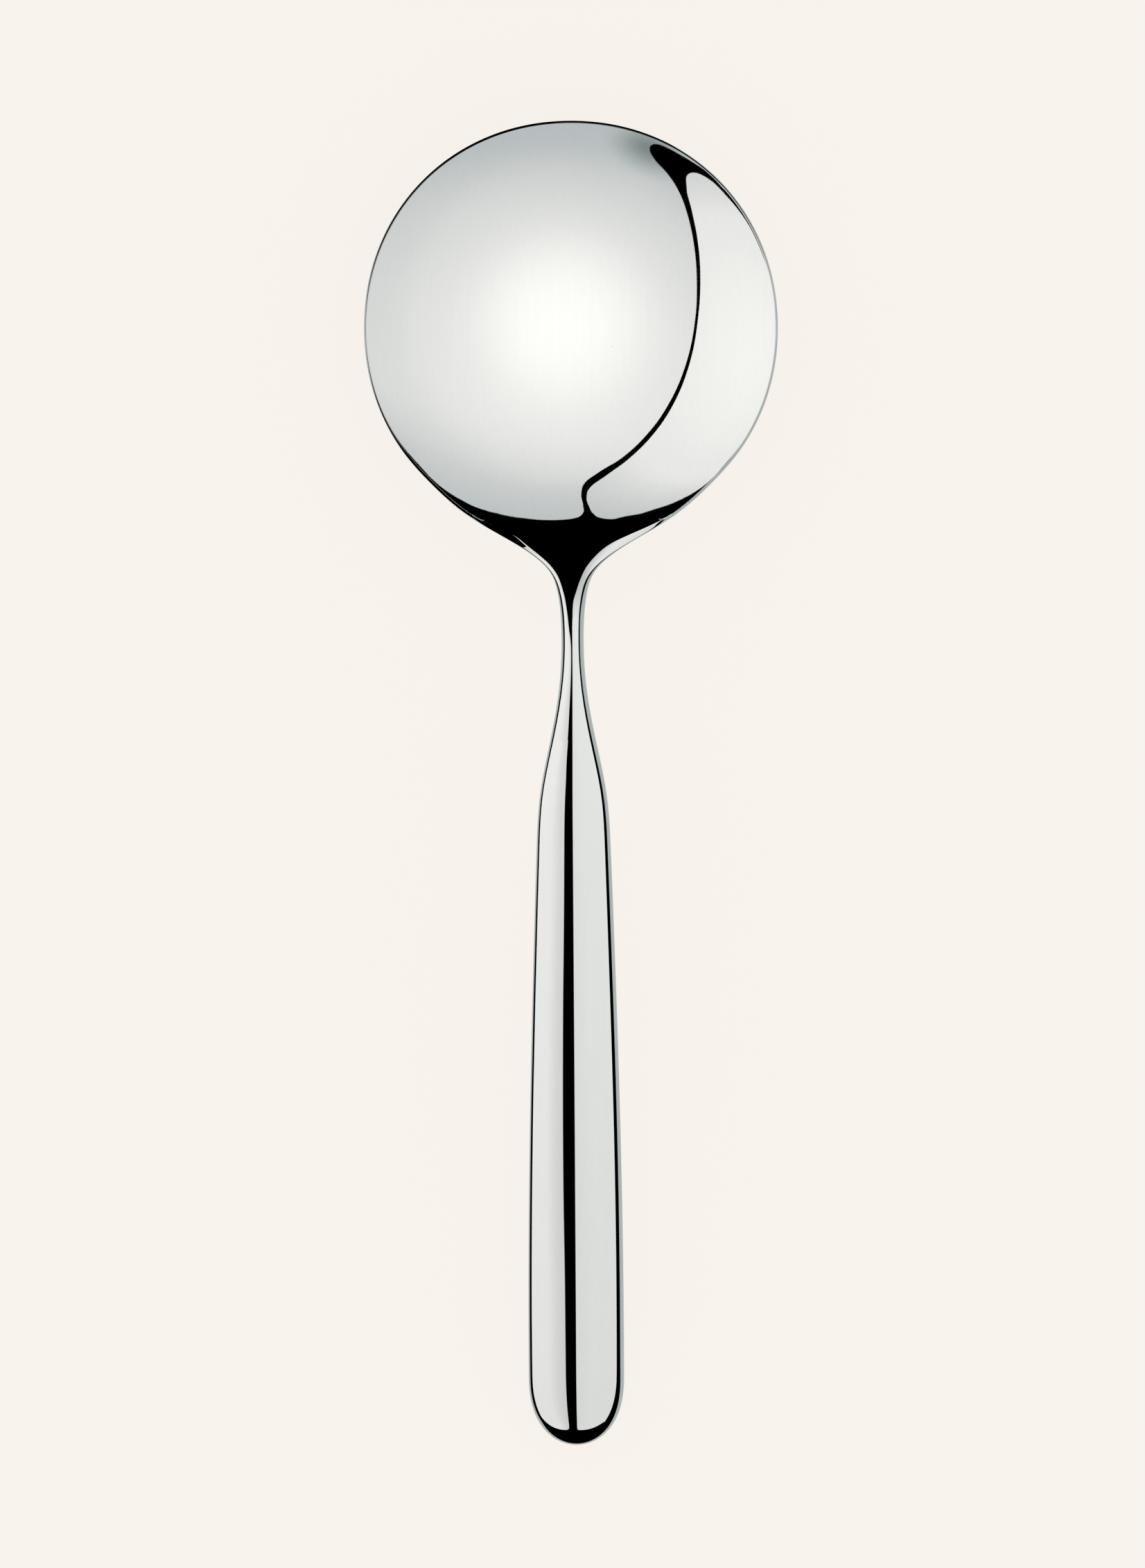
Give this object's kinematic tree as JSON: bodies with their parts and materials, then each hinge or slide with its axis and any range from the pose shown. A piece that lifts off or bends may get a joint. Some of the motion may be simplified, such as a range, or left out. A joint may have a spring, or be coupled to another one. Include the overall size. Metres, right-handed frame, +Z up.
{
  "type": "serving spoon",
  "caption": "Serving spoon of mirror-polished steel with a round shallow bowl, a slim neck and a full rounded hollow handle filled with cement",
  "frame": {"origin": "middle of the bounding box in plan, on the table that the spoon rests on", "axes": "+X across the spoon, +Y along it towards the tip of the bowl, +Z up out of the bowl"},
  "size_m": [0.078, 0.25, 0.0229],
  "materials": {
    "polished_steel": "polished",
    "solder": "polished",
    "cement": "matte"
  },
  "bodies": {
    "root": {"bowl": "polished_steel", "bowl_weld": "polished_steel", "neck_shank": "polished_steel", "handle_upper_shell": "polished_steel", "handle_lower_shell": "polished_steel", "mouth_solder": "solder", "seam_solder": "solder", "handle_filler": "cement"}
  },
  "joints": []
}
